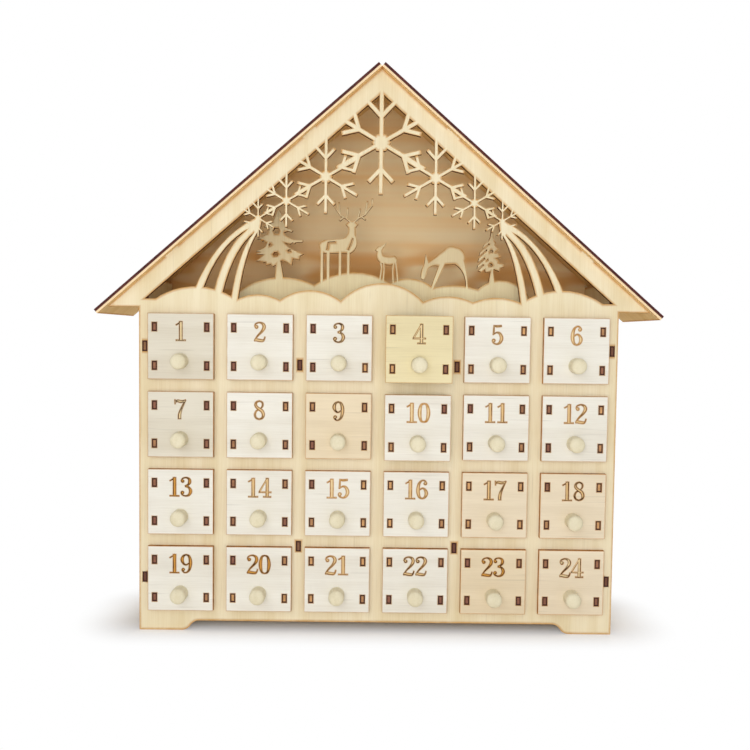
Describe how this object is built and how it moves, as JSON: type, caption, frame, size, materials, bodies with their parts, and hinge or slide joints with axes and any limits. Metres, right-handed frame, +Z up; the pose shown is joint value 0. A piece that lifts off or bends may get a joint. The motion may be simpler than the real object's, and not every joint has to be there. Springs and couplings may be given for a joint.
{
  "type": "wooden advent calendar",
  "caption": "Gabled plywood house with a grid of small sliding drawers, a cut-out winter scene under the roof and a fretwork gable of snowflakes.",
  "frame": {"origin": "on the table, under the middle of the house's box, with its knobs and eaves", "axes": "+X to the right seen from the front, +Y from the drawers to the back, +Z up"},
  "size_m": [0.344, 0.0926, 0.3461],
  "materials": {
    "case_ply": "bare laser-cut plywood with scorched edges",
    "roof_ply": "bare laser-cut plywood with scorched edges",
    "back_ply": "bare plywood",
    "scene_ply": "bare laser-cut plywood with scorched edges",
    "inner_ply": "bare plywood",
    "drawer_ply": "bare pale plywood with scorched edges",
    "knob_wood": "turned pale wood"
  },
  "bodies": {
    "case": {"front_panel": "case_ply", "scene_panel": "scene_ply", "back_panel": "back_ply", "left_wall": "case_ply", "right_wall": "case_ply", "base_board": "inner_ply", "shelves": "inner_ply", "loft_floor": "inner_ply", "tabbed_dividers": "inner_ply", "plain_dividers": "inner_ply", "left_roof_board": "roof_ply", "right_roof_board": "roof_ply"},
    "drawer_01": {"drawer_01": "drawer_ply", "knob_01": "knob_wood"},
    "drawer_02": {"drawer_02": "drawer_ply", "knob_02": "knob_wood"},
    "drawer_03": {"drawer_03": "drawer_ply", "knob_03": "knob_wood"},
    "drawer_04": {"drawer_04": "drawer_ply", "knob_04": "knob_wood"},
    "drawer_05": {"drawer_05": "drawer_ply", "knob_05": "knob_wood"},
    "drawer_06": {"drawer_06": "drawer_ply", "knob_06": "knob_wood"},
    "drawer_07": {"drawer_07": "drawer_ply", "knob_07": "knob_wood"},
    "drawer_08": {"drawer_08": "drawer_ply", "knob_08": "knob_wood"},
    "drawer_09": {"drawer_09": "drawer_ply", "knob_09": "knob_wood"},
    "drawer_10": {"drawer_10": "drawer_ply", "knob_10": "knob_wood"},
    "drawer_11": {"drawer_11": "drawer_ply", "knob_11": "knob_wood"},
    "drawer_12": {"drawer_12": "drawer_ply", "knob_12": "knob_wood"},
    "drawer_13": {"drawer_13": "drawer_ply", "knob_13": "knob_wood"},
    "drawer_14": {"drawer_14": "drawer_ply", "knob_14": "knob_wood"},
    "drawer_15": {"drawer_15": "drawer_ply", "knob_15": "knob_wood"},
    "drawer_16": {"drawer_16": "drawer_ply", "knob_16": "knob_wood"},
    "drawer_17": {"drawer_17": "drawer_ply", "knob_17": "knob_wood"},
    "drawer_18": {"drawer_18": "drawer_ply", "knob_18": "knob_wood"},
    "drawer_19": {"drawer_19": "drawer_ply", "knob_19": "knob_wood"},
    "drawer_20": {"drawer_20": "drawer_ply", "knob_20": "knob_wood"},
    "drawer_21": {"drawer_21": "drawer_ply", "knob_21": "knob_wood"},
    "drawer_22": {"drawer_22": "drawer_ply", "knob_22": "knob_wood"},
    "drawer_23": {"drawer_23": "drawer_ply", "knob_23": "knob_wood"},
    "drawer_24": {"drawer_24": "drawer_ply", "knob_24": "knob_wood"}
  },
  "joints": [
    {"name": "drawer_01_slide", "type": "slide", "parent": "case", "child": "drawer_01", "axis": [0, -1, 0], "range_m": [0, 0.045]},
    {"name": "drawer_02_slide", "type": "slide", "parent": "case", "child": "drawer_02", "axis": [0, -1, 0], "range_m": [0, 0.045]},
    {"name": "drawer_03_slide", "type": "slide", "parent": "case", "child": "drawer_03", "axis": [0, -1, 0], "range_m": [0, 0.045]},
    {"name": "drawer_04_slide", "type": "slide", "parent": "case", "child": "drawer_04", "axis": [0, -1, 0], "range_m": [-0.01, 0.035]},
    {"name": "drawer_05_slide", "type": "slide", "parent": "case", "child": "drawer_05", "axis": [0, -1, 0], "range_m": [0, 0.045]},
    {"name": "drawer_06_slide", "type": "slide", "parent": "case", "child": "drawer_06", "axis": [0, -1, 0], "range_m": [0, 0.045]},
    {"name": "drawer_07_slide", "type": "slide", "parent": "case", "child": "drawer_07", "axis": [0, -1, 0], "range_m": [0, 0.045]},
    {"name": "drawer_08_slide", "type": "slide", "parent": "case", "child": "drawer_08", "axis": [0, -1, 0], "range_m": [0, 0.045]},
    {"name": "drawer_09_slide", "type": "slide", "parent": "case", "child": "drawer_09", "axis": [0, -1, 0], "range_m": [0, 0.045]},
    {"name": "drawer_10_slide", "type": "slide", "parent": "case", "child": "drawer_10", "axis": [0, -1, 0], "range_m": [-0.005, 0.04]},
    {"name": "drawer_11_slide", "type": "slide", "parent": "case", "child": "drawer_11", "axis": [0, -1, 0], "range_m": [0, 0.045]},
    {"name": "drawer_12_slide", "type": "slide", "parent": "case", "child": "drawer_12", "axis": [0, -1, 0], "range_m": [0, 0.045]},
    {"name": "drawer_13_slide", "type": "slide", "parent": "case", "child": "drawer_13", "axis": [0, -1, 0], "range_m": [0, 0.045]},
    {"name": "drawer_14_slide", "type": "slide", "parent": "case", "child": "drawer_14", "axis": [0, -1, 0], "range_m": [0, 0.045]},
    {"name": "drawer_15_slide", "type": "slide", "parent": "case", "child": "drawer_15", "axis": [0, -1, 0], "range_m": [0, 0.045]},
    {"name": "drawer_16_slide", "type": "slide", "parent": "case", "child": "drawer_16", "axis": [0, -1, 0], "range_m": [0, 0.045]},
    {"name": "drawer_17_slide", "type": "slide", "parent": "case", "child": "drawer_17", "axis": [0, -1, 0], "range_m": [0, 0.045]},
    {"name": "drawer_18_slide", "type": "slide", "parent": "case", "child": "drawer_18", "axis": [0, -1, 0], "range_m": [0, 0.045]},
    {"name": "drawer_19_slide", "type": "slide", "parent": "case", "child": "drawer_19", "axis": [0, -1, 0], "range_m": [0, 0.045]},
    {"name": "drawer_20_slide", "type": "slide", "parent": "case", "child": "drawer_20", "axis": [0, -1, 0], "range_m": [0, 0.045]},
    {"name": "drawer_21_slide", "type": "slide", "parent": "case", "child": "drawer_21", "axis": [0, -1, 0], "range_m": [0, 0.045]},
    {"name": "drawer_22_slide", "type": "slide", "parent": "case", "child": "drawer_22", "axis": [0, -1, 0], "range_m": [0, 0.045]},
    {"name": "drawer_23_slide", "type": "slide", "parent": "case", "child": "drawer_23", "axis": [0, -1, 0], "range_m": [0, 0.045]},
    {"name": "drawer_24_slide", "type": "slide", "parent": "case", "child": "drawer_24", "axis": [0, -1, 0], "range_m": [0, 0.045]}
  ]
}
